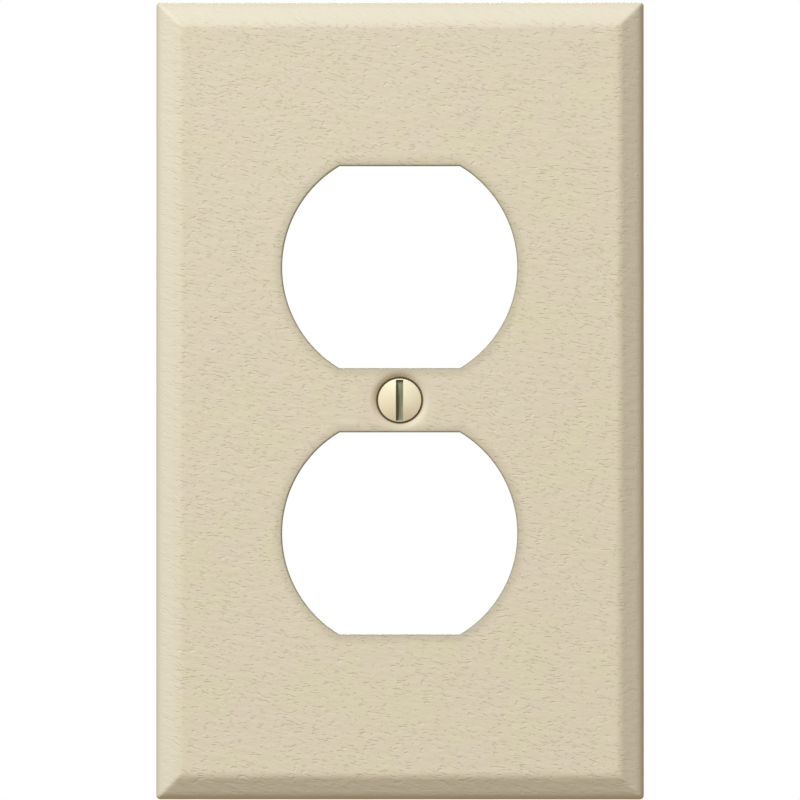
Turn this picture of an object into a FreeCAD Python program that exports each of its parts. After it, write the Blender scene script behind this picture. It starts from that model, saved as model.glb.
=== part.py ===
"""Duplex wall plate: a pressed steel cover with a captive mounting screw.

Frame, in millimetres: X to the right and Z up as seen from the room, Y towards the wall.
The wall's surface is y = 0, and the origin is on the mounting screw's axis there.
The plate's face looks along -Y.

Each separate piece is written to its own STEP file in parts/.
"""

import FreeCAD
import Part

import math
import os

V = FreeCAD.Vector

# ---- Plate -------------------------------------------------------------------------------
PLATE_WIDTH = 69.85  # 2.75 in
PLATE_HEIGHT = 114.3  # 4.50 in
PLATE_DEPTH = 5.6  # wall to face
SHEET = 0.8  # sheet steel with its paint
BEVEL_WIDTH = 3.35  # across the slope, seen from the front
BEVEL_DROP = 2.4  # how far the slope falls from the face
SHOULDER_RADIUS = 2.0  # between face and slope
EDGE_RADIUS = 1.9  # between slope and skirt
CORNER_RADIUS = 0.6  # skirt's upright corners
LEAST_INSIDE_RADIUS = 0.15  # where a bend would otherwise be sharp inside

# ---- Openings for the receptacle's two faces -----------------------------------------------
OPENING_DIAMETER = 33.65  # a little over the receptacle's round face
OPENING_HEIGHT = 28.9  # between the flats
OPENING_SPACING = 38.1  # centre to centre, 1.50 in
PUNCH_ROLLOVER = 0.25  # the punched edge's radius on the painted side
FLARE_MARGIN = 1.0  # how far the cutter's flange reaches past its own rounding

# ---- Pressed countersink at the plate's centre ---------------------------------------------
COUNTERSINK_ANGLE = 82.0  # included angle of plate and screw head
COUNTERSINK_RIM = 1.1  # bend radius where the face dips into the cone
SCREW_HOLE_CLEARANCE = 0.3  # radial, hole over the thread's crest
HEAD_GAP = 0.47  # radial, head's edge to the cone's mouth

# ---- Screw: No. 6-32, slotted oval head ------------------------------------------------------
THREAD_DIAMETER = 3.505
NECK_DIAMETER = 2.9  # relieved shank on which the washer rides
SCREW_LENGTH = 12.7  # from the head's widest edge to the tip
HEAD_DIAMETER = 6.2
HEAD_LAND = 0.3  # straight edge between dome and cone
HEAD_DOME = 0.85  # rise of the dome over the land
HEAD_SEAT_GAP = 0.08  # axial, cone to cone
SLOT_WIDTH = 1.05
SLOT_DEPTH = 1.3  # from the dome's top
SLOT_END_WALL = 0.18  # the head's metal left standing at each end of the slot
TIP_CHAMFER = 0.45
THREAD_START = -0.4  # y where the thread begins: it takes up all of a strap on the wall

# ---- Retaining washer -------------------------------------------------------------------------
WASHER_DIAMETER = 7.6
WASHER_THICKNESS = 0.5
WASHER_BORE_CLEARANCE = 0.06  # radial, on the neck
WASHER_END_GAP = 0.05  # to the thread behind it, and to the plate when drawn out
WASHER_EDGE = 0.08  # its broken outer edges

# ---- Worked out from the sizes above -------------------------------------------------------------
FACE_Y = -PLATE_DEPTH
PAST = 5.0  # how far a cutting body runs past what it cuts
TURN = 360.0
TINY = 1e-4
CONE_SLOPE = math.radians(90.0 - COUNTERSINK_ANGLE / 2)  # cone's fall, measured from the face
HEAD_RADIUS = HEAD_DIAMETER / 2
NECK_RADIUS = NECK_DIAMETER / 2
THREAD_RADIUS = THREAD_DIAMETER / 2
SCREW_HOLE_RADIUS = THREAD_RADIUS + SCREW_HOLE_CLEARANCE
MOUTH_RADIUS = HEAD_RADIUS + HEAD_GAP
DIMPLE_RADIUS = MOUTH_RADIUS + COUNTERSINK_RIM * math.sin(CONE_SLOPE)
MOUTH_Y = FACE_Y + COUNTERSINK_RIM * (1 - math.cos(CONE_SLOPE))
HOLE_FRONT_Y = MOUTH_Y + (MOUTH_RADIUS - SCREW_HOLE_RADIUS) * math.tan(CONE_SLOPE)
HOLE_BACK_Y = HOLE_FRONT_Y + SHEET / math.cos(CONE_SLOPE)
CONE_TOP_Y = MOUTH_Y + HEAD_GAP * math.tan(CONE_SLOPE) - HEAD_SEAT_GAP
HEAD_EDGE_Y = CONE_TOP_Y - HEAD_LAND
DOME_TOP_Y = HEAD_EDGE_Y - HEAD_DOME
NECK_TOP_Y = CONE_TOP_Y + (HEAD_RADIUS - NECK_RADIUS) * math.tan(CONE_SLOPE)
TIP_Y = HEAD_EDGE_Y + SCREW_LENGTH
WASHER_BACK_Y = THREAD_START - WASHER_END_GAP
WASHER_FRONT_Y = WASHER_BACK_Y - WASHER_THICKNESS
SCREW_TRAVEL = WASHER_FRONT_Y - HOLE_BACK_Y - WASHER_END_GAP


def plate_section(half_width, back_y):
    """The plate's outer outline as a closed wire in X and Y: skirts, slopes and face, with their bends."""
    edge_y = FACE_Y + BEVEL_DROP
    corners = [
        (V(half_width, back_y, 0), 0.0),
        (V(half_width, edge_y, 0), EDGE_RADIUS),
        (V(half_width - BEVEL_WIDTH, FACE_Y, 0), SHOULDER_RADIUS),
        (V(BEVEL_WIDTH - half_width, FACE_Y, 0), SHOULDER_RADIUS),
        (V(-half_width, edge_y, 0), EDGE_RADIUS),
        (V(-half_width, back_y, 0), 0.0),
    ]
    return rounded_outline(corners)


def rounded_outline(corners):
    """A closed wire through (point, radius) corners, each rounded by a tangent arc, or sharp at radius 0."""
    arc_starts = []
    arc_ends = []
    edges = []
    for i, (point, radius) in enumerate(corners):
        to_last = (corners[i - 1][0] - point).normalize()
        to_next = (corners[(i + 1) % len(corners)][0] - point).normalize()
        half_corner = to_last.getAngle(to_next) / 2
        reach = radius / math.tan(half_corner)
        arc_starts.append(point + to_last * reach)
        arc_ends.append(point + to_next * reach)
        if radius:
            inwards = (to_last + to_next).normalize()
            middle = point + inwards * (radius / math.sin(half_corner) - radius)
            edges.append(Part.Arc(arc_starts[i], middle, arc_ends[i]).toShape())
    for i, start in enumerate(arc_starts):
        edges.append(Part.makeLine(arc_ends[i - 1], start))
    return Part.Wire(Part.__sortEdges__(edges))


def prism(wire, along, length):
    """The flat wire, filled and pushed half its length each way along a unit vector."""
    body = Part.Face(wire).extrude(along * length)
    body.translate(along * (-length / 2))
    return body


def bevelled_block(inset, back_y, corner_radius):
    """What the plate's outer surface encloses, moved inwards by inset: crossed prisms, then corners."""
    sides = plate_section(PLATE_WIDTH / 2, back_y + inset)
    ends = plate_section(PLATE_HEIGHT / 2, back_y + inset)
    if inset:
        sides = sides.makeOffset2D(-inset)
        ends = ends.makeOffset2D(-inset)
    ends.rotate(V(0, 0, 0), V(0, 1, 0), 90)
    upright = prism(sides, V(0, 0, 1), PLATE_HEIGHT + PAST)
    across = prism(ends, V(1, 0, 0), PLATE_WIDTH + PAST)
    half_width = PLATE_WIDTH / 2 - inset
    half_height = PLATE_HEIGHT / 2 - inset
    corners = [
        (V(half_width, 0, half_height), corner_radius),
        (V(half_width, 0, -half_height), corner_radius),
        (V(-half_width, 0, -half_height), corner_radius),
        (V(-half_width, 0, half_height), corner_radius),
    ]
    rounded = prism(rounded_outline(corners), V(0, 1, 0), 2 * (PLATE_DEPTH + 2 * PAST))
    return upright.common(across).common(rounded)


def round_with_flats(growth, front_y, length):
    """A receptacle opening as a solid about the Y axis, grown all round: a disc cut flat above and below."""
    radius = OPENING_DIAMETER / 2 + growth
    half_height = OPENING_HEIGHT / 2 + growth
    disc = Part.makeCylinder(radius, length, V(0, front_y, 0), V(0, 1, 0))
    band = Part.makeBox(2 * radius, length, 2 * half_height, V(-radius, front_y, -half_height))
    return disc.common(band)


def opening_cutter(centre_z):
    """Cuts one opening. Its mouth flares into a flange, which rolls the face's edge over."""
    through = round_with_flats(0.0, FACE_Y - PAST, PLATE_DEPTH + 2 * PAST)
    flange = round_with_flats(PUNCH_ROLLOVER + FLARE_MARGIN, FACE_Y - PAST, PAST)
    cutter = flange.fuse(through)
    mouth = [e for e in cutter.Edges if on_mouth(e)]
    cutter = cutter.makeFillet(PUNCH_ROLLOVER, mouth)
    cutter.translate(V(0, 0, centre_z))
    return cutter


def on_mouth(edge):
    """Whether an edge of the cutter lies in the face's plane, on the opening's own outline."""
    box = edge.BoundBox
    in_plane = abs(box.YMin - FACE_Y) < TINY and abs(box.YMax - FACE_Y) < TINY
    radius = OPENING_DIAMETER / 2 + TINY
    half_height = OPENING_HEIGHT / 2 + TINY
    return in_plane and box.XMax < radius and box.ZMax < half_height


def turned(outline):
    """Turns a closed outline of (radius, y) edges about the screw's axis."""
    face = Part.Face(Part.Wire(Part.__sortEdges__(outline)))
    return face.revolve(V(0, 0, 0), V(0, 1, 0), TURN)


def bend(centre_radius, centre_y, radius, from_angle, to_angle):
    """An arc in the (radius, y) plane about a centre. Angle 0 points at the face, and grows inwards."""

    def at(angle):
        return V(centre_radius - radius * math.sin(angle), centre_y - radius * math.cos(angle), 0)

    return Part.Arc(at(from_angle), at((from_angle + to_angle) / 2), at(to_angle)).toShape()


def countersink():
    """The sheet around the screw, pressed into a cone that stops at the screw's hole."""
    centre_y = FACE_Y + COUNTERSINK_RIM
    inside_bend = max(COUNTERSINK_RIM - SHEET, LEAST_INSIDE_RADIUS)
    front = bend(DIMPLE_RADIUS, centre_y, COUNTERSINK_RIM, 0.0, CONE_SLOPE)
    back = bend(DIMPLE_RADIUS, centre_y, inside_bend, 0.0, CONE_SLOPE)
    front_hole = V(SCREW_HOLE_RADIUS, HOLE_FRONT_Y, 0)
    back_hole = V(SCREW_HOLE_RADIUS, HOLE_BACK_Y, 0)
    outline = [
        front,
        Part.makeLine(front.Vertexes[-1].Point, front_hole),
        Part.makeLine(front_hole, back_hole),
        Part.makeLine(back_hole, back.Vertexes[-1].Point),
        back,
        Part.makeLine(back.Vertexes[0].Point, front.Vertexes[0].Point),
    ]
    return turned(outline)


def face_plate():
    """The pressed cover: bevelled shell, countersink, and two openings with rolled-over edges."""
    inside_radius = max(CORNER_RADIUS - SHEET, LEAST_INSIDE_RADIUS)
    shell = bevelled_block(0.0, 0.0, CORNER_RADIUS).cut(bevelled_block(SHEET, PAST, inside_radius))
    pressed_area = Part.makeCylinder(DIMPLE_RADIUS, 2 * PAST, V(0, FACE_Y - PAST, 0), V(0, 1, 0))
    plate = shell.cut(pressed_area).fuse(countersink())
    for side in (1, -1):
        plate = plate.cut(opening_cutter(side * OPENING_SPACING / 2))
    return plate.removeSplitter()


def mounting_screw():
    """Oval head with a closed slot, relieved neck, and the thread as a cylinder of its outer diameter."""
    dome_edge = V(HEAD_RADIUS, HEAD_EDGE_Y, 0)
    dome_top = V(0, DOME_TOP_Y, 0)
    dome_radius = (HEAD_RADIUS**2 + HEAD_DOME**2) / (2 * HEAD_DOME)
    half_way = math.asin(HEAD_RADIUS / dome_radius) / 2
    dome_middle = V(
        dome_radius * math.sin(half_way),
        DOME_TOP_Y + dome_radius * (1 - math.cos(half_way)),
        0,
    )
    thread_lead = THREAD_RADIUS - NECK_RADIUS
    points = [
        dome_edge,
        V(HEAD_RADIUS, CONE_TOP_Y, 0),
        V(NECK_RADIUS, NECK_TOP_Y, 0),
        V(NECK_RADIUS, THREAD_START, 0),
        V(THREAD_RADIUS, THREAD_START + thread_lead, 0),
        V(THREAD_RADIUS, TIP_Y - TIP_CHAMFER, 0),
        V(THREAD_RADIUS - TIP_CHAMFER, TIP_Y, 0),
        V(0, TIP_Y, 0),
        dome_top,
    ]
    outline = [Part.makeLine(a, b) for a, b in zip(points, points[1:])]
    outline.append(Part.Arc(dome_top, dome_middle, dome_edge).toShape())
    slot_length = HEAD_DIAMETER - 2 * SLOT_END_WALL
    slot_corner = V(-SLOT_WIDTH / 2, DOME_TOP_Y + SLOT_DEPTH - PAST, -slot_length / 2)
    slot = Part.makeBox(SLOT_WIDTH, PAST, slot_length, slot_corner)
    return turned(outline).cut(slot)


def retaining_washer():
    """Fibre washer on the neck, just ahead of the thread. It keeps the screw in the plate."""
    inner = NECK_RADIUS + WASHER_BORE_CLEARANCE
    outer = WASHER_DIAMETER / 2
    points = [
        V(inner, WASHER_FRONT_Y, 0),
        V(outer - WASHER_EDGE, WASHER_FRONT_Y, 0),
        V(outer, WASHER_FRONT_Y + WASHER_EDGE, 0),
        V(outer, WASHER_BACK_Y - WASHER_EDGE, 0),
        V(outer - WASHER_EDGE, WASHER_BACK_Y, 0),
        V(inner, WASHER_BACK_Y, 0),
    ]
    return turned([Part.makeLine(a, b) for a, b in zip(points, points[1:] + points[:1])])


def main():
    os.makedirs("parts", exist_ok=True)
    pieces = {
        "face_plate": face_plate(),
        "mounting_screw": mounting_screw(),
        "retaining_washer": retaining_washer(),
    }
    for name, shape in pieces.items():
        solid = shape.Solids[0]
        box = solid.BoundBox
        print(
            f"{name}: solids {len(shape.Solids)}, valid {shape.isValid()}, {solid.Volume:.1f} mm3, "
            f"x {box.XMin:.2f}..{box.XMax:.2f}, y {box.YMin:.2f}..{box.YMax:.2f}, "
            f"z {box.ZMin:.2f}..{box.ZMax:.2f}"
        )
        solid.exportStep(f"parts/{name}.step")
    print(f"screw travel {SCREW_TRAVEL:.3f} mm")


main()
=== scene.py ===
"""A duplex wall plate in wrinkled ivory enamel, with its captive screw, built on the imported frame.

Everything is in metres in the frame's own axes: X right, Z up, and Y into the wall, which is y = 0.
The plate's face looks along -Y, and the screw's axis is the Y axis.
"""

import math

import bmesh
import bpy
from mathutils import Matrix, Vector, noise


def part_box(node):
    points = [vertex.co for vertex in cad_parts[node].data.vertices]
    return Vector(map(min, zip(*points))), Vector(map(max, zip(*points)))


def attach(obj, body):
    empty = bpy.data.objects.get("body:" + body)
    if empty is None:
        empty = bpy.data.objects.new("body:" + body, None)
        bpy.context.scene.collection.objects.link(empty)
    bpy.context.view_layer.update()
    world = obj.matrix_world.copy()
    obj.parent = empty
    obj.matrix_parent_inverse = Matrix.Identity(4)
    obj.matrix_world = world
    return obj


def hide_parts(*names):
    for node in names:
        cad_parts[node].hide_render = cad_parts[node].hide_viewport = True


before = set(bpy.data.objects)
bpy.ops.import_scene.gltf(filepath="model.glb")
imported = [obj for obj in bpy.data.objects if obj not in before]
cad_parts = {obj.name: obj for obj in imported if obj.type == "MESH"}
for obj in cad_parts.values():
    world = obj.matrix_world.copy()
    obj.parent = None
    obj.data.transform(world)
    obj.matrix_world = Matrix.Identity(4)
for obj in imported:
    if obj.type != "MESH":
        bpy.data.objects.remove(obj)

bl_info = {
    "name": "Duplex wall plate",
    "version": (1, 0, 0),
    "blender": (4, 5, 0),
    "location": "View3D > Sidebar > Wall plate",
    "description": "Models an enamelled wall plate with its captive screw and washer, and a studio",
    "category": "Object",
}

MM = 0.001
PLATE_LOW, PLATE_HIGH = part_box("face_plate")
SCREW_LOW, SCREW_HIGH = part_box("mounting_screw")
WASHER_LOW, WASHER_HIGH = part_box("retaining_washer")

# How finely curved stretches are divided
EDGE_STEPS = 7
SHOULDER_STEPS = 6
ROLLOVER_STEPS = 4
BLOCK_LINES = 18  # grid lines from the screw's axis to the edge of the web between the openings
HOLE_LINE = 6  # of those, the one that becomes the screw hole
CONE_LINE = 10  # where the countersink's cone meets its bend
BEND_LINE = 14  # the last one that is a circle
DOME_STEPS = 12
HEAD_SEGMENTS = 96
THREAD_SEGMENTS = 48
WELD = 1e-7  # points closer than this are one point
SLIVER = 0.005 * MM  # points that cuts or turns leave closer than this are merged
NEAR_OUTLINE = 1 * MM  # an open edge's point this near the outline is on it
NECK_GAP = 0.3 * MM  # left open between the neck and the thread, and then bridged

# How the enamel lies
CREASE_SLOPE = math.radians(-14.0)  # its wrinkles, from level
SWELL_SLOPE = math.radians(21.0)  # its broad swells, down to the right
CALM_RADIUS = 3.6 * MM  # nearer the screw's axis than this it lies flat
CALM_FADE = 2.0 * MM  # and this much further out it is as uneven as elsewhere

FLOOR_REACH = 30.0  # from the floor's middle to its edges


# ---- Sizes and colours that a user would change ----


def length(name, description, value):
    """A length property with its default in metres."""
    return bpy.props.FloatProperty(
        name=name, description=description, default=value, min=0.0, precision=5, unit="LENGTH"
    )


def angle(name, description, degrees):
    """An angle property with its default in degrees."""
    return bpy.props.FloatProperty(
        name=name, description=description, default=math.radians(degrees), unit="ROTATION"
    )


def direction(name, description, value):
    """A direction in the frame's axes."""
    return bpy.props.FloatVectorProperty(
        name=name, description=description, default=value, size=3, subtype="XYZ"
    )


def colour(name, description, value):
    """A linear colour property."""
    return bpy.props.FloatVectorProperty(
        name=name, description=description, default=value, min=0.0, max=1.0, size=3, subtype="COLOR"
    )


def number(name, description, value):
    """A plain number property that can't go below zero."""
    return bpy.props.FloatProperty(name=name, description=description, default=value, min=0.0)


class PlateSizes(bpy.types.PropertyGroup):
    """Sizes of the pressed cover."""

    width: length("Width", "Across the plate", PLATE_HIGH.x - PLATE_LOW.x)
    height: length("Height", "Top to bottom", PLATE_HIGH.z - PLATE_LOW.z)
    depth: length("Depth", "Wall to face", PLATE_HIGH.y - PLATE_LOW.y)
    sheet: length("Sheet", "Thickness of the steel with its enamel", 0.8 * MM)
    bevel_width: length("Bevel width", "The slope as seen from the front", 3.35 * MM)
    bevel_drop: length("Bevel drop", "How far the slope falls from the face", 2.4 * MM)
    shoulder_radius: length("Shoulder radius", "Bend between face and slope", 2.0 * MM)
    edge_radius: length("Edge radius", "Bend between slope and skirt", 1.9 * MM)
    corner_radius: length("Corner radius", "The skirt's upright corners", 0.6 * MM)
    inside_corner: length("Inside corner", "Least radius inside a corner", 0.15 * MM)
    mitre_soft: length("Soft mitre", "Depth over which two slopes blend where they meet", 0.25 * MM)
    opening_diameter: length("Opening diameter", "Across an opening's round sides", 33.65 * MM)
    opening_height: length("Opening height", "Between an opening's flats", 28.9 * MM)
    opening_spacing: length("Opening spacing", "Centre to centre", 38.1 * MM)
    rollover: length("Rollover", "Rounding of the punched edge on the enamelled side", 0.25 * MM)
    burr: length("Broken edge", "Chamfer of the sheared edges", 0.06 * MM)
    hole_radius: length("Hole radius", "The screw's hole", 2.0525 * MM)
    mouth_radius: length("Mouth radius", "The countersink's mouth", 3.57 * MM)
    countersink_rim: length("Countersink rim", "Bend from the face into the cone", 1.1 * MM)
    countersink_angle: angle("Countersink angle", "Between the cone's sides", 82.0)
    relief: length("Relief", "Height of the enamel's broad unevenness", 0.010 * MM)
    cell: length("Front cell", "Spacing of the front's mesh", 0.4 * MM)
    back_cell: length("Back cell", "Spacing of the back's mesh", 1.2 * MM)


class ScrewSizes(bpy.types.PropertyGroup):
    """Sizes of the oval-head screw."""

    dome: length("Dome", "Rise of the dome over the head's edge", 0.85 * MM)
    land: length("Land", "Straight edge between dome and cone", 0.3 * MM)
    head_round: length("Head rounding", "Rounding of the head's edges", 0.07 * MM)
    enamel_reach: length("Enamel reach", "How far the enamel runs down the cone", 0.3 * MM)
    slot_width: length("Slot width", "Across the slot", 1.05 * MM)
    slot_depth: length("Slot depth", "From the dome's top", 1.3 * MM)
    slot_end: length("Slot end", "Metal left at each end of the slot", 0.18 * MM)
    slot_round: length("Slot rounding", "Rounding of the slot's mouth", 0.05 * MM)
    neck_radius: length("Neck radius", "Relieved shank under the head", 1.45 * MM)
    crest_radius: length("Crest radius", "Thread at its crests", 1.7525 * MM)
    root_radius: length("Root radius", "Thread at its roots", 1.323 * MM)
    pitch: length("Pitch", "Crest to crest, 32 to the inch", 25.4 / 32 * MM)
    thread_start: length("Thread start", "How far in front of the wall the thread begins", 0.4 * MM)
    tip_chamfer: length("Tip chamfer", "At the point", 0.45 * MM)


class WasherSizes(bpy.types.PropertyGroup):
    """Sizes of the retaining washer."""

    bore_radius: length("Bore radius", "Its hole", 1.51 * MM)
    edge: length("Edge", "Rounding of its edges", 0.08 * MM)


class Finishes(bpy.types.PropertyGroup):
    """Colours of the enamel, the metals and the fibre."""

    enamel: colour("Enamel", "Ivory enamel", (0.700, 0.594, 0.430))
    enamel_warm: colour("Warm tint", "Where the enamel is warmer", (0.708, 0.586, 0.436))
    enamel_yellow: colour("Yellow tint", "Where the enamel is yellower", (0.695, 0.602, 0.412))
    # Painted light: a paler enamel that makes the bevels look more brightly lit.
    enamel_bevel_light: colour("Bevel enamel", "Where it is paler, on the bevels", (0.725, 0.635, 0.478))
    # Darker enamel all round each opening, within about 1.7 mm of its edge.
    enamel_near_opening: colour("Thin enamel", "Where it draws back from a punched edge", (0.46, 0.40, 0.26))
    # Painted shade: a dark line along each punched edge.
    enamel_edge_shade: colour("Edge", "Along a punched edge itself", (0.26, 0.22, 0.14))
    # Painted shade down in the wrinkles.
    enamel_crease_shade: colour("Creases", "Down in the wrinkles", (0.56, 0.47, 0.33))
    # Painted shade: the dark ring in the gap round the screw's head, painted into the countersink's cone.
    seat: colour("Seat", "The screw's seat, where no enamel reaches", (0.13, 0.095, 0.055))
    screw_enamel: colour("Screw enamel", "The screw's head", (0.80, 0.675, 0.45))
    # Painted highlight: the paler enamel towards the head's upper right.
    screw_highlight: colour("Pale screw enamel", "Where the head is paler", (0.87, 0.755, 0.525))
    slot_metal: colour("Slot metal", "Inside the slot", (0.375, 0.375, 0.21))
    zinc: colour("Zinc", "Plating behind the plate", (0.56, 0.57, 0.58))
    thread_zinc: colour("Thread zinc", "Plating on the thread", (0.66, 0.66, 0.64))
    fibre: colour("Fibre", "The washer", (0.20, 0.045, 0.025))
    floor: colour("Floor", "The studio's floor", (0.92, 0.92, 0.92))
    floor_glow: colour("Floor glow", "Light that keeps the floor pale", (0.92, 0.97, 1.0))


class Studio(bpy.types.PropertyGroup):
    """The camera, the lamps and the floor."""

    lens: number("Lens", "Focal length in millimetres", 600.0)
    framed: length("Framed", "What the picture spans at the plate's outline", 114.62 * MM)
    aim: length("Aim", "How far above the plate's middle the camera looks", 0.07 * MM)
    eye_right: length("Eye right", "How far the camera stands to the right", 30 * MM)
    eye_down: length("Eye down", "How far the camera stands down", 25 * MM)
    floor_drop: length("Floor drop", "From the plate's foot to the floor", 3000 * MM)
    floor_strength: number("Floor strength", "How strongly the floor glows", 0.42)
    key_from: direction("Key from", "Where the main lamps stand", (-0.360, -0.745, 0.560))
    key_spread: angle("Key spread", "How wide the far main lamp looks", 24.0)
    key_strength: number("Key strength", "The far main lamp", 1.99)
    key_colour: colour("Key colour", "The main lamps", (0.782, 0.894, 1.0))
    near_away: length("Near away", "From the plate to the near main lamp", 750 * MM)
    near_across: length("Near across", "How wide the near main lamp is", 300 * MM)
    near_power: number("Near power", "The near main lamp, in watts", 2.36)
    back_from: direction("Back from", "Where the lamp behind stands", (0.15, 0.85, 0.5))
    back_spread: angle("Back spread", "How wide the lamp behind looks", 30.0)
    back_strength: number("Back strength", "The lamp behind", 2.2)
    back_colour: colour("Back colour", "The lamp behind", (1.0, 1.0, 1.0))
    ambient: colour("Ambient", "The light of the room all round", (0.378, 0.329, 0.268))


class WallPlateSettings(bpy.types.PropertyGroup):
    """All the settings together."""

    plate: bpy.props.PointerProperty(type=PlateSizes)
    screw: bpy.props.PointerProperty(type=ScrewSizes)
    washer: bpy.props.PointerProperty(type=WasherSizes)
    finishes: bpy.props.PointerProperty(type=Finishes)
    studio: bpy.props.PointerProperty(type=Studio)


# ---- Materials ----


class Finish:
    """A material being made: its node tree, its shader, and short ways to add nodes."""

    def __init__(self, name, base, roughness, metallic=0.0):
        self.material = bpy.data.materials.new(name)
        self.material.use_nodes = True
        self.tree = self.material.node_tree
        self.shader = self.tree.nodes["Principled BSDF"]
        self.shader.inputs["Base Color"].default_value = (*base, 1.0)
        self.shader.inputs["Roughness"].default_value = roughness
        self.shader.inputs["Metallic"].default_value = metallic
        self.place = self.node("TexCoord").outputs["Object"]
        split = self.node("SeparateXYZ")
        self.feed(split.inputs[0], self.place)
        self.axes = tuple(split.outputs)

    def node(self, kind, **settings):
        """A new node of a kind, with its settings."""
        made = self.tree.nodes.new("ShaderNode" + kind)
        for key, value in settings.items():
            setattr(made, key, value)
        return made

    def feed(self, socket, value):
        """Links an output to a socket, or sets the socket's own value."""
        if isinstance(value, bpy.types.NodeSocket):
            self.tree.links.new(value, socket)
        else:
            socket.default_value = value

    def maths(self, operation, *values):
        """One sum on values or outputs."""
        made = self.node("Math", operation=operation)
        for socket, value in zip(made.inputs, values):
            self.feed(socket, value)
        return made.outputs[0]

    def mapped(self, per_metre, turn=0.0, vector=None):
        """The piece's coordinates turned about Y, then scaled along each axis."""
        turned = self.node("Mapping")
        turned.inputs["Rotation"].default_value = (0.0, turn, 0.0)
        self.feed(turned.inputs["Vector"], vector or self.place)
        scaled = self.node("Mapping")
        scaled.inputs["Scale"].default_value = per_metre
        self.feed(scaled.inputs["Vector"], turned.outputs[0])
        return scaled.outputs[0]

    def clouds(self, vector, detail=2.0, roughness=0.5):
        """Noise between 0 and 1."""
        made = self.node("TexNoise")
        self.feed(made.inputs["Vector"], vector)
        for key, value in (("Scale", 1.0), ("Detail", detail), ("Roughness", roughness)):
            made.inputs[key].default_value = value
        return made.outputs[0]

    def between(self, value, none, full):
        """0 at none, 1 at full, flat beyond both and smooth in between."""
        made = self.node("MapRange", interpolation_type="SMOOTHSTEP")
        self.feed(made.inputs["Value"], value)
        made.inputs["From Min"].default_value = min(none, full)
        made.inputs["From Max"].default_value = max(none, full)
        made.inputs["To Min"].default_value = float(none > full)
        made.inputs["To Max"].default_value = float(none < full)
        return made.outputs[0]

    def mix(self, amount, first, second):
        """A colour between two, each a colour or an output."""
        made = self.node("Mix", data_type="RGBA")
        self.feed(made.inputs[0], amount)
        for socket, value in ((made.inputs[6], first), (made.inputs[7], second)):
            given = isinstance(value, bpy.types.NodeSocket)
            self.feed(socket, value if given else (*value, 1.0))
        return made.outputs[2]

    def bump(self, height, distance):
        """A bump that stands a distance in metres for a height of 1."""
        made = self.node("Bump")
        made.inputs["Distance"].default_value = distance
        self.feed(made.inputs["Height"], height)
        return made.outputs["Normal"]

    def done(self, base, roughness, normal):
        """Feeds the shader and hands over the material."""
        for name, value in (("Base Color", base), ("Roughness", roughness), ("Normal", normal)):
            self.feed(self.shader.inputs[name], value)
        return self.material


def outside_opening(finish, plate):
    """How far a point of the plate lies outside the nearer opening's edge, in metres."""
    x, _, z = finish.axes
    rise = finish.maths("SUBTRACT", finish.maths("ABSOLUTE", z), plate.opening_spacing / 2)
    squares = finish.maths("MULTIPLY_ADD", x, x, finish.maths("MULTIPLY", rise, rise))
    past_round = finish.maths("SUBTRACT", finish.maths("SQRT", squares), plate.opening_diameter / 2)
    past_flat = finish.maths("SUBTRACT", finish.maths("ABSOLUTE", rise), plate.opening_height / 2)
    return finish.maths("MAXIMUM", past_round, past_flat)


def inside_outline(finish, plate):
    """How far a point of the plate lies in from the outline, in metres."""
    x, _, z = finish.axes
    from_side = finish.maths("SUBTRACT", plate.width / 2, finish.maths("ABSOLUTE", x))
    from_end = finish.maths("SUBTRACT", plate.height / 2, finish.maths("ABSOLUTE", z))
    return finish.maths("MINIMUM", from_side, from_end)


def from_axis(finish):
    """How far a point lies from the screw's axis, in metres."""
    x, _, z = finish.axes
    return finish.maths("SQRT", finish.maths("MULTIPLY_ADD", x, x, finish.maths("MULTIPLY", z, z)))


def wrinkles(finish):
    """Short creases that slope down to the right, in clusters: 1 in a crease and 0 outside."""
    wander = finish.clouds(finish.mapped((260.0, 260.0, 260.0)), detail=1.0)
    shift = finish.node("CombineXYZ")
    finish.feed(shift.inputs["Z"], finish.maths("MULTIPLY", wander, 2.2 * MM))
    moved = finish.node("VectorMath", operation="ADD")
    finish.feed(moved.inputs[0], finish.place)
    finish.feed(moved.inputs[1], shift.outputs[0])
    dashes = finish.clouds(finish.mapped((900.0, 900.0, 3200.0), CREASE_SLOPE, moved.outputs[0]), 1.5, 0.5)
    cluster = finish.clouds(finish.mapped((400.0, 400.0, 520.0), CREASE_SLOPE))
    return finish.between(finish.maths("MULTIPLY_ADD", cluster, 0.22, dashes), 0.545, 0.415)


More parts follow.
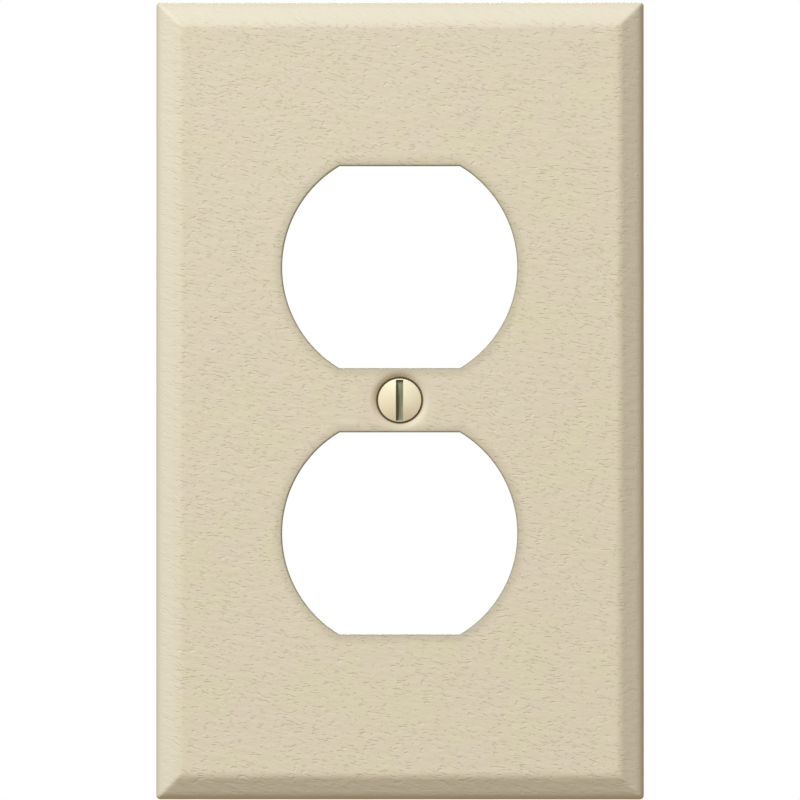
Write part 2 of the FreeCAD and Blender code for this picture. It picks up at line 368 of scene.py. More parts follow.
def enamel_material(plate, finishes):
    """Ivory enamel with short wrinkles, darker all round each opening; painted light makes the bevels
    paler, and painted shade darkens the wrinkles, the punched edges and the gap round the screw.
    """
    finish = Finish("ivory_wrinkle_enamel", finishes.enamel, 0.55)
    outline, axis = inside_outline(finish, plate), from_axis(finish)
    opening = outside_opening(finish, plate)
    away = finish.maths(
        "MULTIPLY", finish.between(outline, 0.2 * MM, 1.2 * MM), finish.between(axis, 3.9 * MM, 5.4 * MM)
    )
    broad = finish.clouds(finish.mapped((75.0, 75.0, 110.0)), 3.0, 0.6)
    other = finish.clouds(finish.mapped((150.0, 150.0, 240.0), 0.8), 3.0, 0.6)
    fine = finish.clouds(finish.mapped((900.0, 900.0, 1500.0)), 3.0, 0.6)
    base = finish.mix(finish.between(broad, 0.36, 0.60), finishes.enamel_yellow, finishes.enamel)
    base = finish.mix(finish.between(other, 0.46, 0.66), base, finishes.enamel_warm)
    sloped = finish.between(outline, 3.7 * MM, 2.2 * MM)
    bevel = finish.maths("MULTIPLY", sloped, finish.between(outline, -1.0 * MM, 1.2 * MM))
    creases = finish.maths("MULTIPLY", wrinkles(finish), finish.maths("MULTIPLY_ADD", bevel, -0.6, 1.0))
    # Painted light: the bevels are mixed towards a paler enamel so that they look more brightly lit.
    base = finish.mix(bevel, base, finishes.enamel_bevel_light)
    # Painted shade: the wrinkles are darkened where shade would lie in them.
    shade = finish.maths("MULTIPLY", finish.maths("MULTIPLY", creases, away), 0.09)
    base = finish.mix(shade, base, finishes.enamel_crease_shade)
    # Darker all round each opening, within about 1.7 mm of its edge.
    near_opening_dark = finish.between(opening, 1.7 * MM, -0.1 * MM)
    base = finish.mix(finish.maths("MULTIPLY", near_opening_dark, 0.6), base, finishes.enamel_near_opening)
    # Painted shade along the punched edge of each opening.
    edge = finish.between(opening, 0.34 * MM, 0.02 * MM)
    base = finish.mix(finish.maths("MULTIPLY", edge, 0.7), base, finishes.enamel_edge_shade)
    # Painted shade: the countersink's cone next to the screw's head is darkened as the gap's shade.
    base = finish.mix(finish.between(axis, 3.50 * MM, 3.28 * MM), base, finishes.seat)
    rough = finish.maths("MULTIPLY_ADD", fine, 0.16, 0.50)
    ripples = finish.clouds(finish.mapped((420.0, 420.0, 1250.0), CREASE_SLOPE), 2.0, 0.5)
    pits = finish.maths("MULTIPLY_ADD", creases, -1.0, finish.maths("MULTIPLY", fine, 0.3))
    pits = finish.maths("MULTIPLY", finish.maths("MULTIPLY_ADD", ripples, 1.8, pits), away)
    return finish.done(base, rough, finish.bump(pits, 0.05 * MM))


def zinc_material(plate, finishes):
    """Zinc-plated sheet with soft spangles and rolling marks, and enamel mist round its openings."""
    finish = Finish("zinc_plated_sheet", finishes.zinc, 0.4, 1.0)
    spangle = finish.node("TexVoronoi", feature="SMOOTH_F1")
    finish.feed(spangle.inputs["Vector"], finish.mapped((340.0, 340.0, 340.0)))
    spangle.inputs["Scale"].default_value = 1.0
    spangle.inputs["Smoothness"].default_value = 0.45
    grain = finish.clouds(finish.mapped((90.0, 900.0, 2600.0)), 3.0, 0.6)
    halved = finish.maths("MULTIPLY", grain, 0.65)
    tone = finish.maths("MULTIPLY_ADD", spangle.outputs["Color"], 0.35, halved)
    metal = finish.mix(finish.between(tone, 0.2, 0.8), [c * 0.75 for c in finishes.zinc], finishes.zinc)
    speckle = finish.clouds(finish.mapped((1300.0, 1300.0, 1300.0)), 3.0, 0.7)
    near = finish.between(outside_opening(finish, plate), 2.6 * MM, -0.2 * MM)
    mist = finish.between(finish.maths("MULTIPLY_ADD", near, 0.5, speckle), 0.72, 1.08)
    finish.feed(finish.shader.inputs["Metallic"], finish.maths("SUBTRACT", 1.0, mist))
    base = finish.mix(mist, metal, finishes.enamel)
    return finish.done(base, finish.maths("MULTIPLY_ADD", tone, 0.22, 0.28), finish.bump(grain, 0.004 * MM))


def screw_enamel_material(finishes):
    """Smooth ivory enamel with a faint orange peel, and a painted highlight that makes it paler towards the
    upper right.
    """
    finish = Finish("screw_ivory_enamel", finishes.screw_enamel, 0.55)
    peel = finish.clouds(finish.mapped((1900.0, 1900.0, 1900.0)))
    broad = finish.clouds(finish.mapped((420.0, 420.0, 420.0)), 1.0)
    x, _, z = finish.axes
    rightward = finish.maths("MULTIPLY_ADD", z, 0.8, x)
    across = finish.maths("MULTIPLY_ADD", broad, 1.6 * MM, rightward)
    # Painted highlight, spreading towards the upper right of the head.
    painted_highlight = finish.between(across, -0.6 * MM, 2.4 * MM)
    base = finish.mix(painted_highlight, finishes.screw_enamel, finishes.screw_highlight)
    return finish.done(base, finish.maths("MULTIPLY_ADD", peel, 0.12, 0.56), finish.bump(peel, 0.006 * MM))


def slot_material(finishes):
    """Dull metal under a green-grey film, where a driver has kept the slot clean of enamel."""
    finish = Finish("slot_dull_metal", finishes.slot_metal, 0.5, 0.15)
    drag = finish.clouds(finish.mapped((5200.0, 5200.0, 420.0)), 3.0)
    worn = [c * 0.6 for c in finishes.slot_metal]
    base = finish.mix(finish.between(drag, 0.3, 0.7), worn, finishes.slot_metal)
    return finish.done(base, finish.maths("MULTIPLY_ADD", drag, 0.25, 0.38), finish.bump(drag, 0.008 * MM))


def thread_material(finishes):
    """Bright zinc plating with a clouded tone and faint rolling lines."""
    finish = Finish("thread_bright_zinc", finishes.thread_zinc, 0.28, 1.0)
    cloud = finish.clouds(finish.mapped((650.0, 650.0, 650.0)), 3.0)
    lines = finish.clouds(finish.mapped((1200.0, 7000.0, 1200.0)))
    dull = [c * 0.7 for c in finishes.thread_zinc]
    base = finish.mix(finish.between(cloud, 0.35, 0.65), dull, finishes.thread_zinc)
    return finish.done(base, finish.maths("MULTIPLY_ADD", cloud, 0.25, 0.2), finish.bump(lines, 0.003 * MM))


def fibre_material(finishes):
    """Vulcanised fibre: matt brick red, felted in layers that show at its edge."""
    finish = Finish("vulcanised_fibre", finishes.fibre, 0.72)
    felt = finish.clouds(finish.mapped((1500.0, 5200.0, 2600.0)), 4.0, 0.65)
    specks = finish.clouds(finish.mapped((4200.0, 4200.0, 4200.0)), 1.0)
    paler = [c * 1.9 + 0.02 for c in finishes.fibre]
    base = finish.mix(finish.between(felt, 0.35, 0.7), finishes.fibre, paler)
    base = finish.mix(finish.between(specks, 0.64, 0.74), base, [c * 2.8 for c in finishes.fibre])
    return finish.done(base, finish.maths("MULTIPLY_ADD", felt, 0.2, 0.6), finish.bump(felt, 0.015 * MM))


# ---- Mesh helpers ----


def spaced(start, end, cell):
    """Positions after start, up to and with end, about a cell apart."""
    count = max(1, round((end - start) / cell))
    return [start + (end - start) * (k + 1) / count for k in range(count)]


def open_edges(bm, belongs):
    """The open edges both of whose points pass a test."""
    return [e for e in bm.edges if e.is_boundary and all(belongs(v.co) for v in e.verts)]


def drawn_on(bm, loop, move, material=0):
    """Extrudes an open loop and moves its new points. Hands over the new open loop."""
    made = bmesh.ops.extrude_edge_only(bm, edges=loop)["geom"]
    for part in made:
        if isinstance(part, bmesh.types.BMVert):
            part.co = move(part.co)
        if isinstance(part, bmesh.types.BMFace):
            part.material_index = material
    return [part for part in made if isinstance(part, bmesh.types.BMEdge) and part.is_boundary]


def bridged(bm, belongs, material=0):
    """Joins the two open loops whose points pass a test."""
    for face in bmesh.ops.bridge_loops(bm, edges=open_edges(bm, belongs))["faces"]:
        face.material_index = material


def revolved(bm, outline, segments):
    """Turns an outline of (radius, y) points about the Y axis."""
    verts = [bm.verts.new((radius, y, 0.0)) for radius, y in outline]
    edges = [bm.edges.new(pair) for pair in zip(verts, verts[1:])]
    bmesh.ops.spin(
        bm,
        geom=verts + edges,
        cent=(0.0, 0.0, 0.0),
        axis=(0.0, 1.0, 0.0),
        angle=math.tau,
        steps=segments,
        use_merge=True,
    )
    bmesh.ops.remove_doubles(bm, verts=bm.verts, dist=WELD)


def sliced(bm, faces, point, normal, **clear):
    """Cuts faces along a plane."""
    parts = set(faces)
    for face in faces:
        parts.update(face.edges)
        parts.update(face.verts)
    bmesh.ops.bisect_plane(bm, geom=list(parts), dist=WELD, plane_co=point, plane_no=normal, **clear)


def taken_in(bm, other):
    """Adds another bmesh's faces to this one, and frees the other."""
    spare = bpy.data.meshes.new("spare")
    other.to_mesh(spare)
    other.free()
    bm.from_mesh(spare)
    bpy.data.meshes.remove(spare)


def added(name, data):
    """A new object in the scene."""
    thing = bpy.data.objects.new(name, data)
    bpy.context.scene.collection.objects.link(thing)
    return thing


def made_piece(bm, name, node, body, materials):
    """Turns a finished bmesh into the piece that stands for a node of the frame."""
    open_count = sum(not edge.is_manifold for edge in bm.edges)
    if open_count:
        raise RuntimeError(f"{name} has {open_count} edges that aren't shared by two faces")
    mesh = bpy.data.meshes.new(name)
    bm.to_mesh(mesh)
    bm.free()
    mesh.shade_smooth()
    mesh.set_sharp_from_angle(angle=math.radians(30.0))
    for material in materials:
        mesh.materials.append(material)
    piece = added(name, mesh)
    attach(piece, body)
    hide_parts(node)


# ---- The plate ----


def round_out(x, z):
    """A point of a square about the origin, moved so that squares become circles."""
    reach = max(x, z)
    turn = math.pi / 4 * min(x, z) / reach
    near, far = reach * math.sin(turn), reach * math.cos(turn)
    return (far, near) if x >= z else (near, far)


class Side:
    """One side of the pressed sheet: the front at inset 0, or the back a sheet's thickness in."""

    def __init__(self, plate, inset, growth, cell):
        self.plate = plate
        self.inset = inset
        self.cell = cell
        self.half_width = plate.width / 2 - inset
        self.half_height = plate.height / 2 - inset
        self.corner = max(plate.corner_radius - inset, plate.inside_corner)
        self.centre = plate.opening_spacing / 2
        self.radius, self.flat, self.flat_end = self.opening(growth)
        self.web = self.centre - self.flat
        self.rim = self.rim_profile()
        self.shoulder_x = plate.width / 2 - self.rim[-1][0]
        self.shoulder_z = plate.height / 2 - self.rim[-1][0]
        self.cone_fall = (math.pi - plate.countersink_angle) / 2
        self.dimple = plate.mouth_radius + plate.countersink_rim * math.sin(self.cone_fall)

    def opening(self, growth):
        """Radius, half height and half length of the flats of an opening grown by an amount."""
        radius = self.plate.opening_diameter / 2 + growth
        flat = self.plate.opening_height / 2 + growth
        return radius, flat, math.sqrt(radius**2 - flat**2)

    def rim_profile(self):
        """(distance in from the outline, depth under the face), from the skirt to the flat face."""
        plate = self.plate
        slope = math.atan2(plate.bevel_drop, plate.bevel_width)
        edge_turn = math.pi / 2 - slope
        edge_depth = plate.bevel_drop + plate.edge_radius * math.tan(edge_turn / 2)
        shoulder_in = plate.bevel_width + plate.shoulder_radius * math.tan(slope / 2)
        edge_bend = plate.edge_radius - self.inset
        shoulder_bend = plate.shoulder_radius - self.inset
        edge, shoulder = [], []
        for k in range(EDGE_STEPS + 1):
            turn = edge_turn * k / EDGE_STEPS
            inward = plate.edge_radius - edge_bend * math.cos(turn)
            edge.append((inward, edge_depth - edge_bend * math.sin(turn)))
        for k in range(SHOULDER_STEPS + 1):
            turn = slope * (1 - k / SHOULDER_STEPS)
            inward = shoulder_in - shoulder_bend * math.sin(turn)
            shoulder.append((inward, plate.shoulder_radius - shoulder_bend * math.cos(turn)))
        low, high = Vector(edge[-1]), Vector(shoulder[0])
        steps = spaced(0.0, 1.0, self.cell / (high - low).length)
        return edge + [tuple(low.lerp(high, t)) for t in steps[:-1]] + shoulder

    def lines(self, keys, half):
        """Grid lines from the middle to the outline, as (position, depth)."""
        places = [0.0] + spaced(0.0, keys[0], keys[0] / BLOCK_LINES)
        for start, end in zip(keys, keys[1:]):
            places += spaced(start, end, self.cell)
        rim = [(half - inward, depth) for inward, depth in reversed(self.rim)]
        return [(place, self.inset) for place in places[:-1]] + rim

    def quarter(self):
        """The upper right quarter: a grid with its lines on the plate's features, then shaped to them."""
        plate = self.plate
        top_flat = self.centre + self.flat
        x_lines = self.lines([self.web, self.flat_end, self.shoulder_x], plate.width / 2)
        z_lines = self.lines([self.web, top_flat, self.shoulder_z], plate.height / 2)
        columns, rows = len(x_lines) - 1, len(z_lines) - 1
        bm = bmesh.new()
        bmesh.ops.create_grid(bm, x_segments=columns, y_segments=rows, size=0.5)
        for v in bm.verts:
            x, x_depth = x_lines[round((v.co.x + 0.5) * columns)]
            z, z_depth = z_lines[round((v.co.y + 0.5) * rows)]
            v.co = (x, PLATE_LOW.y + self.softened(x_depth, z_depth), z)
        hole = self.web * HOLE_LINE / BLOCK_LINES
        punched, mitred = [], []
        for face in bm.faces:
            x, _, z = face.calc_center_median()
            if max(x, z) < hole or (x < self.flat_end and abs(z - self.centre) < self.flat):
                punched.append(face)
            if x > self.shoulder_x and z > self.shoulder_z:
                mitred.append(face)
        sliced(bm, mitred, (plate.width / 2, 0.0, plate.height / 2), (1.0, 0.0, -1.0))
        bmesh.ops.delete(bm, geom=punched, context="FACES")
        for v in bm.verts:
            v.co = self.placed(v.co)
        return bm

    def softened(self, one, other):
        """The greater of two depths, with the crest where they meet worn round."""
        soft = min(self.plate.mitre_soft, min(one, other) - self.inset)
        apart = abs(one - other)
        if apart >= soft:
            return max(one, other)
        return max(one, other) + (soft - apart) ** 2 / (4 * soft)

    def placed(self, co):
        """Where a grid point goes on the pressed sheet."""
        x, y, z = co
        corner_x, corner_z = self.half_width - self.corner, self.half_height - self.corner
        if x > corner_x and z > corner_z:
            dx, dz = round_out(x - corner_x, z - corner_z)
            return Vector((corner_x + dx, y, corner_z + dz))
        if max(x, z) < self.web + WELD:
            return self.countersunk(x, z)
        if self.flat_end - WELD < x < self.shoulder_x and abs(z - self.centre) < self.flat:
            side = math.sqrt(self.radius**2 - (z - self.centre) ** 2)
            along = (x - self.flat_end) / (self.shoulder_x - self.flat_end)
            return Vector((side + along * (self.shoulder_x - side), y, z))
        return Vector(co)

    def countersunk(self, x, z):
        """A point of the square block about the screw, wound into circles and pressed into the cone."""
        reach = max(x, z)
        line = reach / self.web * BLOCK_LINES
        dx, dz = round_out(x, z)
        place = Vector((dx, 0.0, dz)) * (self.circle_radius(min(line, BEND_LINE)) / reach)
        if line > BEND_LINE:
            square = Vector((x, 0.0, z)) * (self.web / reach)
            place = place.lerp(square, (line - BEND_LINE) / (BLOCK_LINES - BEND_LINE))
        place.y = PLATE_LOW.y + self.countersink_depth(place.length)
        return place

    def circle_radius(self, line):
        """The radius that a grid line of the block takes, from the hole out to the bend."""
        hole = self.plate.hole_radius
        bend_width = (self.plate.countersink_rim - self.inset) * math.sin(self.cone_fall)
        cone_end = self.dimple - bend_width
        if line < CONE_LINE:
            return hole + (cone_end - hole) * (line - HOLE_LINE) / (CONE_LINE - HOLE_LINE)
        return cone_end + bend_width * 0.7 * (line - CONE_LINE) / (BEND_LINE - CONE_LINE)

    def countersink_depth(self, radius):
        """Depth under the face at a distance from the screw's axis."""
        rim = self.plate.countersink_rim
        bend = rim - self.inset
        bend_width = bend * math.sin(self.cone_fall)
        inward = self.dimple - radius
        if inward <= 0:
            return self.inset
        if inward < bend_width:
            return rim - math.sqrt(bend**2 - inward**2)
        return rim - bend * math.cos(self.cone_fall) + (inward - bend_width) * math.tan(self.cone_fall)

    def whole(self):
        """The quarter mirrored to all four."""
        bm = self.quarter()
        for axis in ("X", "Z"):
            parts = bm.verts[:] + bm.edges[:] + bm.faces[:]
            bmesh.ops.mirror(bm, geom=parts, axis=axis, merge_dist=WELD)
        return bm

    def on_opening(self, co, before, after, depth):
        """A point of an opening's edge, taken from one growth of the opening to another."""
        _, old_flat, old_end = self.opening(before)
        radius, flat, end = self.opening(after)
        centre = math.copysign(self.centre, co.z)
        rise = co.z - centre
        if abs(rise) > old_flat - WELD:
            return Vector((co.x * end / old_end, PLATE_LOW.y + depth, centre + math.copysign(flat, rise)))
        rise *= flat / old_flat
        side = math.copysign(math.sqrt(radius**2 - rise**2), co.x)
        return Vector((side, PLATE_LOW.y + depth, centre + rise))

    def on_outline(self, co, inward, depth):
        """A point of the outline, moved in by an amount, at a depth."""
        corner_x, corner_z = self.half_width - self.corner, self.half_height - self.corner
        x, z = abs(co.x), abs(co.z)
        if x > corner_x and z > corner_z:
            out = Vector((x - corner_x, z - corner_z)).normalized() * (self.corner - inward)
            x, z = corner_x + out.x, corner_z + out.y
        elif x > corner_x:
            x = self.half_width - inward
        else:
            z = self.half_height - inward
        return Vector((math.copysign(x, co.x), PLATE_LOW.y + depth, math.copysign(z, co.z)))

    def is_outline(self, co):
        """Whether a point of an open edge is on the outline."""
        return abs(co.x) > self.half_width - NEAR_OUTLINE or abs(co.z) > self.half_height - NEAR_OUTLINE

    def is_hole(self, co):
        """Whether a point of an open edge is on the screw's hole."""
        return math.hypot(co.x, co.z) < self.web * 0.8

    def is_opening(self, co):
        """Whether a point of an open edge is on an opening."""
        return not self.is_outline(co) and not self.is_hole(co)


def enamel_height(place):
    """The enamel's broad unevenness at a place, about -1 to 1: low swells that slope down to the right."""
    along = place.x * math.cos(SWELL_SLOPE) - place.z * math.sin(SWELL_SLOPE)
    across = place.x * math.sin(SWELL_SLOPE) + place.z * math.cos(SWELL_SLOPE)
    swell = noise.noise(Vector((along, place.y, across * 2.0)) / (2.6 * MM))
    return 0.8 * swell + 0.6 * noise.noise(place / (7 * MM))


def uneven(bm, plate):
    """Moves the enamelled points along their normals by the enamel's unevenness, but not by the screw."""
    bm.normal_update()
    for v in bm.verts:
        if all(face.material_index == 0 for face in v.link_faces):
            past = (math.hypot(v.co.x, v.co.z) - CALM_RADIUS) / CALM_FADE
            share = min(max(past, 0.0), 1.0)
            v.co += v.normal * (share * plate.relief * enamel_height(v.co))


def face_plate(plate, finishes):
    """The pressed cover as one closed shell: enamelled side, bare side, and the edges between."""
    front = Side(plate, 0.0, plate.rollover, plate.cell)
    bm = front.whole()
    opening = open_edges(bm, front.is_opening)
    outline = open_edges(bm, front.is_outline)
    growth = plate.rollover
    for k in range(1, ROLLOVER_STEPS + 1):
        turn = math.pi / 2 * k / ROLLOVER_STEPS
        after = plate.rollover * (1 - math.sin(turn))
        depth = plate.rollover * (1 - math.cos(turn))
        opening = drawn_on(bm, opening, lambda co: front.on_opening(co, growth, after, depth))
        growth = after
    drawn_on(bm, opening, lambda co: front.on_opening(co, 0.0, 0.0, plate.sheet - plate.burr), 1)
    skirt_top = front.rim[0][1]
    for depth in spaced(skirt_top, plate.depth - plate.burr, plate.cell * 2):
        outline = drawn_on(bm, outline, lambda co: front.on_outline(co, 0.0, depth))
    drawn_on(bm, outline, lambda co: front.on_outline(co, plate.burr, plate.depth))

    back = Side(plate, plate.sheet, plate.burr, plate.back_cell)
    behind = back.whole()
    outline = open_edges(behind, back.is_outline)
    outline = drawn_on(behind, outline, lambda co: back.on_outline(co, 0.0, plate.depth - plate.burr))
    drawn_on(behind, outline, lambda co: back.on_outline(co, -plate.burr, plate.depth))
    for face in behind.faces:
        face.material_index = 1
    taken_in(bm, behind)

    bridged(bm, front.is_hole, 1)
    bridged(bm, front.is_outline, 1)
    bridged(bm, lambda co: front.is_opening(co) and co.z > 0, 1)
    bridged(bm, lambda co: front.is_opening(co) and co.z < 0, 1)
    bmesh.ops.recalc_face_normals(bm, faces=bm.faces)
    uneven(bm, plate)
    materials = [enamel_material(plate, finishes), zinc_material(plate, finishes)]
    made_piece(bm, "enamelled_plate", "face_plate", "plate", materials)


# ---- The screw ----


def dome_depth(screw, radius):
    """How far the dome has fallen at a distance from its axis."""
    head = SCREW_HIGH.x
    ball = (head**2 + screw.dome**2) / (2 * screw.dome)
    return ball - math.sqrt(ball**2 - radius**2)


def dome_top(screw):
    """Where the dome's top would be, had the slot not cut it off."""
    return SCREW_LOW.y - dome_depth(screw, screw.slot_width / 2)


def screw_head(bm, screw, half_angle):
    """The oval head and the neck: dome, land, cone and relieved shank."""
    head, top = SCREW_HIGH.x, dome_top(screw)
    outline = []
    for k in range(DOME_STEPS + 1):
        radius = head * k / DOME_STEPS
        outline.append((radius, top + dome_depth(screw, radius)))
    cone_top = top + screw.dome + screw.land
    neck_top = cone_top + (head - screw.neck_radius) / math.tan(half_angle)
    outline += [(head, cone_top), (screw.neck_radius, neck_top)]
    outline.append((screw.neck_radius, -screw.thread_start - NECK_GAP))
    revolved(bm, outline, HEAD_SEGMENTS)
    rims = []
    for edge in bm.edges:
        at_rim = all(math.hypot(v.co.x, v.co.z) > head - WELD for v in edge.verts)
        if at_rim and abs(edge.verts[0].co.y - edge.verts[1].co.y) < WELD:
            rims.append(edge)
    bmesh.ops.bevel(
        bm,
        geom=rims,
        offset=screw.head_round,
        affect="EDGES",
        segments=3,
        profile=0.5,
        material=-1,
        clamp_overlap=True,
    )
    for face in bm.faces:
        enamelled = face.calc_center_median().y < cone_top + screw.enamel_reach
        face.material_index = 0 if enamelled else 2


def slotted(bm, screw):
    """Cuts the driver's slot, closed at both ends, with its mouth a little rounded."""
    head, top = SCREW_HIGH.x, dome_top(screw)
    half = screw.slot_width / 2
    reach = head - screw.slot_end
    for extra in (screw.slot_round, 0.0):
        for side in (1, -1):
            for place in ((side * (half + extra), 0.0, 0.0), (0.0, 0.0, side * (reach + extra))):
                dome = [face for face in bm.faces if face.calc_center_median().y < top + screw.dome]
                sliced(bm, dome, place, Vector(place).normalized())
    bmesh.ops.remove_doubles(bm, verts=bm.verts, dist=SLIVER)
    for v in bm.verts:
        beside = abs(v.co.x) < half + WELD and abs(v.co.z) < reach + WELD
        if beside and v.co.y < top + screw.dome:
            v.co.y += screw.slot_round * 0.6
    inside = []
    for face in bm.faces:
        x, y, z = face.calc_center_median()
        if abs(x) < half and abs(z) < reach and y < top + screw.dome + screw.slot_round:
            inside.append(face)
    made = bmesh.ops.extrude_face_region(bm, geom=inside)["geom"]
    bmesh.ops.delete(bm, geom=[face for face in inside if face.is_valid], context="FACES")
    for part in made:
        if isinstance(part, bmesh.types.BMVert):
            part.co.y = top + screw.slot_depth
    for face in bm.faces:
        x, y, z = face.calc_center_median()
        walled = abs(x) < half + WELD and abs(z) < reach + WELD
        if walled and y < top + screw.slot_depth + WELD:
            face.material_index = 1


def threaded(bm, screw):
    """The rolled thread: one pitch of its section wound along the axis, then cut off at both ends."""
    start, tip = -screw.thread_start, SCREW_HIGH.y
    crest, root, pitch = screw.crest_radius, screw.root_radius, screw.pitch
    first = start - 1.5 * pitch
    section = [(crest, 0.0), (crest, 1 / 8), (root, 7 / 16), (root, 11 / 16), (crest, 1.0)]
    verts = [bm.verts.new((radius, first + along * pitch, 0.0)) for radius, along in section]
    edges = [bm.edges.new(pair) for pair in zip(verts, verts[1:])]
    turns = math.ceil((tip - first) / pitch) + 1
    bmesh.ops.spin(
        bm,
        geom=verts + edges,
        cent=(0.0, 0.0, 0.0),
        axis=(0.0, 1.0, 0.0),
        dvec=(0.0, pitch / THREAD_SEGMENTS, 0.0),
        angle=math.tau * turns,
        steps=THREAD_SEGMENTS * turns,
    )
    bmesh.ops.remove_doubles(bm, verts=bm.verts, dist=SLIVER)
    for v in bm.verts:
        radius = math.hypot(v.co.x, v.co.z)
        ramp = min(max((v.co.y - start) / (0.8 * pitch), 0.0), 1.0)
        wanted = screw.neck_radius + (radius - screw.neck_radius) * ramp
        wanted = min(wanted, crest - max(0.0, v.co.y - (tip - screw.tip_chamfer)))
        v.co = (v.co.x * wanted / radius, v.co.y, v.co.z * wanted / radius)
    sliced(bm, bm.faces[:], (0.0, start, 0.0), (0.0, 1.0, 0.0), clear_inner=True)
    sliced(bm, bm.faces[:], (0.0, tip, 0.0), (0.0, 1.0, 0.0), clear_outer=True)
    bmesh.ops.holes_fill(bm, edges=open_edges(bm, lambda co: co.y > tip - WELD * 10), sides=0)
    for face in bm.faces:
        face.material_index = 2


def mounting_screw(plate, screw, finishes):
    """The captive screw as one closed shell."""
    bm, wound = bmesh.new(), bmesh.new()
    screw_head(bm, screw, plate.countersink_angle / 2)
    slotted(bm, screw)
    threaded(wound, screw)
    taken_in(bm, wound)
    bridged(bm, lambda co: abs(co.y + screw.thread_start) < NECK_GAP * 2, 2)
    bmesh.ops.recalc_face_normals(bm, faces=bm.faces)
    materials = [screw_enamel_material(finishes), slot_material(finishes), thread_material(finishes)]
    made_piece(bm, "oval_head_screw", "mounting_screw", "screw", materials)


def retaining_washer(washer, finishes):
    """The fibre washer: a ring with rounded edges."""
    inner, outer = washer.bore_radius, WASHER_HIGH.x
    front, back = WASHER_LOW.y, WASHER_HIGH.y
    edge = washer.edge
    outline = [(inner, back - edge), (inner, front + edge), (inner + edge, front), (outer - edge, front)]
    outline += [(outer, front + edge), (outer, back - edge), (outer - edge, back), (inner + edge, back)]
    outline.append(outline[0])
    bm = bmesh.new()
    revolved(bm, outline, HEAD_SEGMENTS)
    bmesh.ops.recalc_face_normals(bm, faces=bm.faces)
    made_piece(bm, "fibre_washer", "retaining_washer", "washer", [fibre_material(finishes)])


# ---- The studio ----


def lamp(name, kind, power, tint, place):
    """A lamp of a kind that shines at the screw from a place."""
    data = bpy.data.lights.new(name, kind)
    data.energy = power
    data.color = tint
    thing = added(name, data)
    thing.location = place
    thing.rotation_euler = place.to_track_quat("Z", "Y").to_euler()
    return data


def lamps(studio):
    """A far soft lamp, a near one that favours the plate's side next to it, and a soft one behind."""
    key_from, back_from = Vector(studio.key_from), Vector(studio.back_from)
    key = lamp("key", "SUN", studio.key_strength, studio.key_colour, key_from)
    key.angle = studio.key_spread
    near_place = key_from.normalized() * studio.near_away
    near = lamp("near_key", "AREA", studio.near_power, studio.key_colour, near_place)
    near.shape = "DISK"
    near.size = studio.near_across
    behind = lamp("behind", "SUN", studio.back_strength, studio.back_colour, back_from)
    behind.angle = studio.back_spread


def floor(studio, finishes):
    """A wide pale floor that keeps its own light off the plate."""
    bm = bmesh.new()
    bmesh.ops.create_grid(bm, x_segments=8, y_segments=8, size=FLOOR_REACH)
    bmesh.ops.translate(bm, vec=(0.0, 0.0, PLATE_LOW.z - studio.floor_drop), verts=bm.verts)
    mesh = bpy.data.meshes.new("floor")
    bm.to_mesh(mesh)
    bm.free()
    finish = Finish("pale_floor", finishes.floor, 0.9)
    finish.shader.inputs["Emission Color"].default_value = (*finishes.floor_glow, 1.0)
    finish.shader.inputs["Emission Strength"].default_value = studio.floor_strength
    mesh.materials.append(finish.material)
    ground = added("floor", mesh)
    ground.visible_diffuse = False
    ground.visible_glossy = False


def room(studio):
    """The room's light, and a white beyond it for the camera."""
    world = bpy.data.worlds.new("studio")
    world.use_nodes = True
    tree = world.node_tree
    lit = tree.nodes["Background"]
    lit.inputs["Color"].default_value = (*studio.ambient, 1.0)
    white = tree.nodes.new("ShaderNodeBackground")
    white.inputs["Color"].default_value = (1.0, 1.0, 1.0, 1.0)
    path = tree.nodes.new("ShaderNodeLightPath")
    either = tree.nodes.new("ShaderNodeMixShader")
    tree.links.new(path.outputs["Is Camera Ray"], either.inputs[0])
    tree.links.new(lit.outputs[0], either.inputs[1])
    tree.links.new(white.outputs[0], either.inputs[2])
    tree.links.new(either.outputs[0], tree.nodes["World Output"].inputs["Surface"])
    bpy.context.scene.world = world
    bpy.context.scene.view_settings.view_transform = "Standard"


def camera(plate, studio):
    """A long lens in front of the plate, a little to its right and below, aimed at its middle."""
    lens = bpy.data.cameras.new("camera")
    lens.lens = studio.lens
    lens.sensor_width = 36.0
    lens.clip_start = 0.01
    lens.clip_end = 100.0
    away = studio.framed * lens.lens / lens.sensor_width
    outline_y = PLATE_LOW.y + Side(plate, 0.0, plate.rollover, plate.cell).rim[0][1]
    thing = added("camera", lens)
    thing.location = (studio.eye_right, outline_y - away, -studio.eye_down)
    towards = Vector((0.0, outline_y, studio.aim)) - thing.location
    thing.rotation_euler = towards.to_track_quat("-Z", "Y").to_euler()
    bpy.context.scene.camera = thing


# ---- The add-on ----


class WALLPLATE_OT_face_plate(bpy.types.Operator):
    """Model the pressed and enamelled cover"""

    bl_idname = "wallplate.face_plate"
    bl_label = "Face plate"

    def execute(self, context):
        settings = context.scene.wall_plate
        face_plate(settings.plate, settings.finishes)
        return {"FINISHED"}


class WALLPLATE_OT_mounting_screw(bpy.types.Operator):
    """Model the captive oval-head screw with its thread"""

    bl_idname = "wallplate.mounting_screw"
    bl_label = "Mounting screw"

    def execute(self, context):
        settings = context.scene.wall_plate
        mounting_screw(settings.plate, settings.screw, settings.finishes)
        return {"FINISHED"}


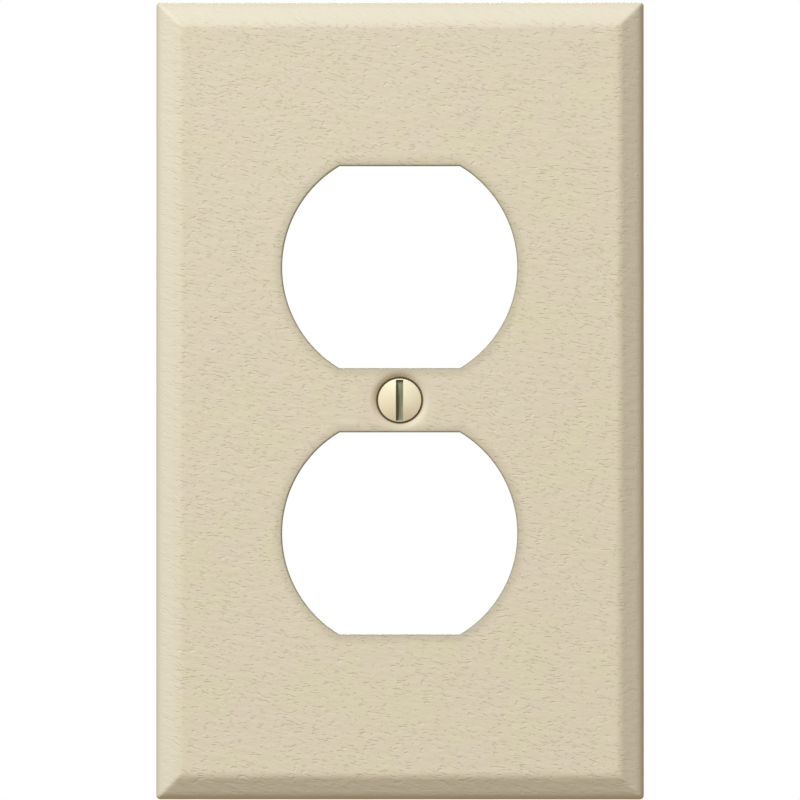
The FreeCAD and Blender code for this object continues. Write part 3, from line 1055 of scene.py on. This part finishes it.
class WALLPLATE_OT_retaining_washer(bpy.types.Operator):
    """Model the fibre washer that keeps the screw in the plate"""

    bl_idname = "wallplate.retaining_washer"
    bl_label = "Retaining washer"

    def execute(self, context):
        settings = context.scene.wall_plate
        retaining_washer(settings.washer, settings.finishes)
        return {"FINISHED"}


class WALLPLATE_OT_studio(bpy.types.Operator):
    """Set up the camera, the lamps and the pale floor"""

    bl_idname = "wallplate.studio"
    bl_label = "Studio"

    def execute(self, context):
        settings = context.scene.wall_plate
        studio = settings.studio
        camera(settings.plate, studio)
        room(studio)
        lamps(studio)
        floor(studio, settings.finishes)
        return {"FINISHED"}


class WALLPLATE_PT_pieces(bpy.types.Panel):
    """The pieces of the wall plate and its studio"""

    bl_idname = "WALLPLATE_PT_pieces"
    bl_label = "Wall plate"
    bl_space_type = "VIEW_3D"
    bl_region_type = "UI"
    bl_category = "Wall plate"

    def draw(self, context):
        for operator in OPERATORS:
            self.layout.operator(operator.bl_idname)
        settings = context.scene.wall_plate
        for group in (settings.plate, settings.screw, settings.washer, settings.finishes, settings.studio):
            box = self.layout.box()
            for name in group.__annotations__:
                box.prop(group, name)


GROUPS = (PlateSizes, ScrewSizes, WasherSizes, Finishes, Studio, WallPlateSettings)
OPERATORS = (
    WALLPLATE_OT_face_plate,
    WALLPLATE_OT_mounting_screw,
    WALLPLATE_OT_retaining_washer,
    WALLPLATE_OT_studio,
)


def register():
    for group in GROUPS + OPERATORS + (WALLPLATE_PT_pieces,):
        bpy.utils.register_class(group)
    bpy.types.Scene.wall_plate = bpy.props.PointerProperty(type=WallPlateSettings)


def unregister():
    del bpy.types.Scene.wall_plate
    for group in reversed(GROUPS + OPERATORS + (WALLPLATE_PT_pieces,)):
        bpy.utils.unregister_class(group)


def main():
    """Makes the pieces and the studio."""
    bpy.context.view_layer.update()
    register()
    bpy.ops.wallplate.face_plate()
    bpy.ops.wallplate.mounting_screw()
    bpy.ops.wallplate.retaining_washer()
    bpy.ops.wallplate.studio()


if __name__ == "__main__":
    main()
